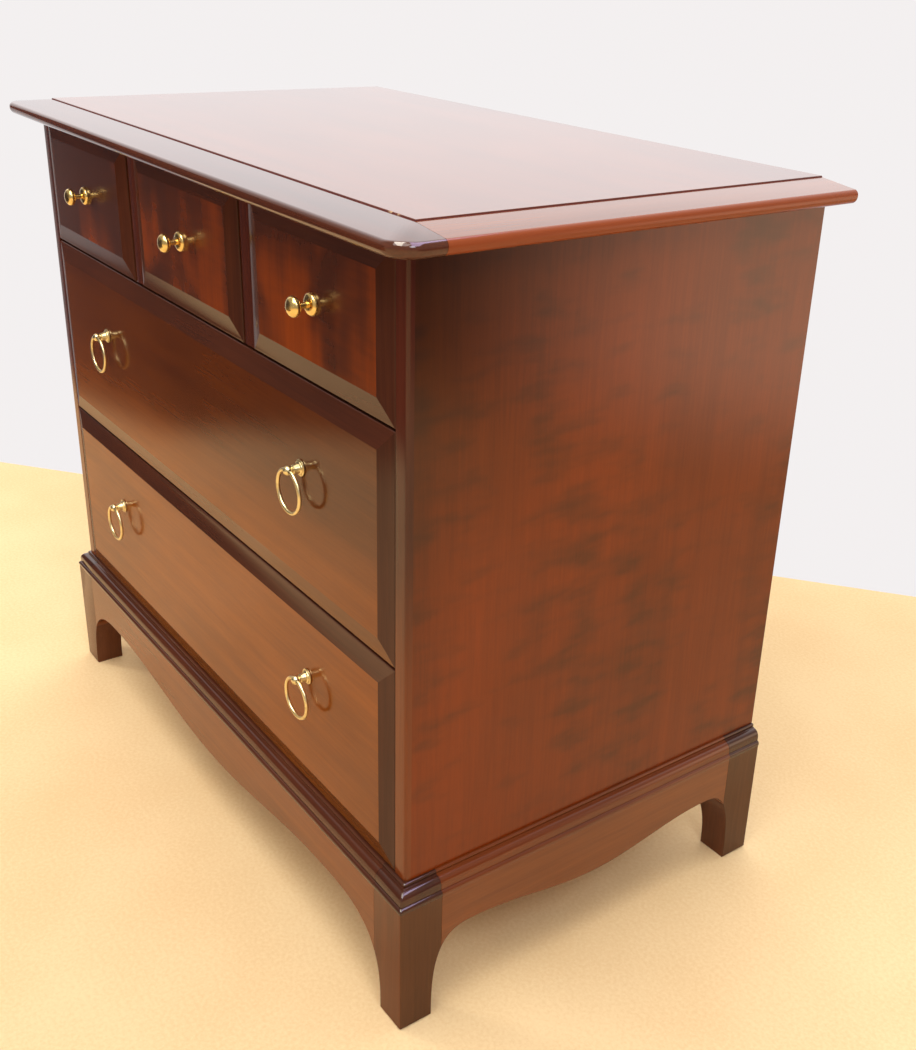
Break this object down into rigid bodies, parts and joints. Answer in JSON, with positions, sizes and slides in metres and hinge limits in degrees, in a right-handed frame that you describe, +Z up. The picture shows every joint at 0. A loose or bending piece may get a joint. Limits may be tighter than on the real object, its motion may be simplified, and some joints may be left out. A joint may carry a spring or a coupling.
{
  "type": "chest of drawers",
  "caption": "Freestanding mahogany chest with short drawers over long ones, fielded fronts, brass knobs and ring pulls, on a moulded and shaped plinth with feet.",
  "frame": {"origin": "centre of the overall box's bottom face, on the floor", "axes": "+X to the right-hand side, +Y to the back, +Z up; the drawers face -Y"},
  "size_m": [0.82, 0.461, 0.716],
  "materials": {
    "mahogany_veneer": "satin lacquered mahogany veneer",
    "mahogany_solid": "satin lacquered mahogany",
    "mahogany_plinth": "satin lacquered dark mahogany",
    "brass": "polished and lacquered",
    "pale_hardwood": "plain sanded",
    "hardboard": "unfinished pressed board"
  },
  "bodies": {
    "carcass": {"back_panel": "hardboard", "bottom_board": "pale_hardwood", "dust_board": "pale_hardwood", "partition_left": "mahogany_solid", "partition_right": "mahogany_solid", "plinth_foot_back_left": "mahogany_plinth", "plinth_foot_back_right": "mahogany_plinth", "plinth_foot_front_left": "mahogany_plinth", "plinth_foot_front_right": "mahogany_plinth", "plinth_rail_back": "mahogany_plinth", "plinth_rail_front": "mahogany_plinth", "plinth_rail_left": "mahogany_plinth", "plinth_rail_right": "mahogany_plinth", "runner_lower_left": "pale_hardwood", "runner_lower_right": "pale_hardwood", "runner_upper_left": "pale_hardwood", "runner_upper_right": "pale_hardwood", "side_panel_left": "mahogany_veneer", "side_panel_right": "mahogany_veneer", "top_border_front": "mahogany_solid", "top_border_left": "mahogany_solid", "top_border_right": "mahogany_solid", "top_front_rail": "pale_hardwood", "top_panel": "mahogany_veneer"},
    "drawer_short_left": {"short_left_back": "pale_hardwood", "short_left_bottom": "pale_hardwood", "short_left_front": "mahogany_veneer", "short_left_side_left": "pale_hardwood", "short_left_side_right": "pale_hardwood", "knob_left": "brass"},
    "drawer_short_middle": {"short_middle_back": "pale_hardwood", "short_middle_bottom": "pale_hardwood", "short_middle_front": "mahogany_veneer", "short_middle_side_left": "pale_hardwood", "short_middle_side_right": "pale_hardwood", "knob_middle": "brass"},
    "drawer_short_right": {"short_right_back": "pale_hardwood", "short_right_bottom": "pale_hardwood", "short_right_front": "mahogany_veneer", "short_right_side_left": "pale_hardwood", "short_right_side_right": "pale_hardwood", "knob_right": "brass"},
    "drawer_long_upper": {"long_upper_back": "pale_hardwood", "long_upper_bottom": "pale_hardwood", "long_upper_front": "mahogany_veneer", "long_upper_side_left": "pale_hardwood", "long_upper_side_right": "pale_hardwood", "pull_post_upper_left": "brass", "pull_post_upper_right": "brass"},
    "drawer_long_lower": {"long_lower_back": "pale_hardwood", "long_lower_bottom": "pale_hardwood", "long_lower_front": "mahogany_veneer", "long_lower_side_left": "pale_hardwood", "long_lower_side_right": "pale_hardwood", "pull_post_lower_left": "brass", "pull_post_lower_right": "brass"},
    "ring_upper_left": {"pull_ring_upper_left": "brass"},
    "ring_upper_right": {"pull_ring_upper_right": "brass"},
    "ring_lower_left": {"pull_ring_lower_left": "brass"},
    "ring_lower_right": {"pull_ring_lower_right": "brass"}
  },
  "joints": [
    {"name": "short_left_slide", "type": "slide", "parent": "carcass", "child": "drawer_short_left", "axis": [0, -1, 0], "range_m": [0, 0.3]},
    {"name": "short_middle_slide", "type": "slide", "parent": "carcass", "child": "drawer_short_middle", "axis": [0, -1, 0], "range_m": [0, 0.3]},
    {"name": "short_right_slide", "type": "slide", "parent": "carcass", "child": "drawer_short_right", "axis": [0, -1, 0], "range_m": [0, 0.3]},
    {"name": "long_upper_slide", "type": "slide", "parent": "carcass", "child": "drawer_long_upper", "axis": [0, -1, 0], "range_m": [0, 0.3]},
    {"name": "long_lower_slide", "type": "slide", "parent": "carcass", "child": "drawer_long_lower", "axis": [0, -1, 0], "range_m": [0, 0.3]},
    {"name": "ring_upper_left_hinge", "type": "hinge", "parent": "drawer_long_upper", "child": "ring_upper_left", "pos_m": [-0.22, -0.2168, 0.48383], "axis": [-1, 0, 0], "range_deg": [-15, 195]},
    {"name": "ring_upper_right_hinge", "type": "hinge", "parent": "drawer_long_upper", "child": "ring_upper_right", "pos_m": [0.22, -0.2168, 0.48383], "axis": [-1, 0, 0], "range_deg": [-15, 195]},
    {"name": "ring_lower_left_hinge", "type": "hinge", "parent": "drawer_long_lower", "child": "ring_lower_left", "pos_m": [-0.22, -0.2168, 0.27977], "axis": [-1, 0, 0], "range_deg": [-15, 195]},
    {"name": "ring_lower_right_hinge", "type": "hinge", "parent": "drawer_long_lower", "child": "ring_lower_right", "pos_m": [0.22, -0.2168, 0.27977], "axis": [-1, 0, 0], "range_deg": [-15, 195]}
  ]
}
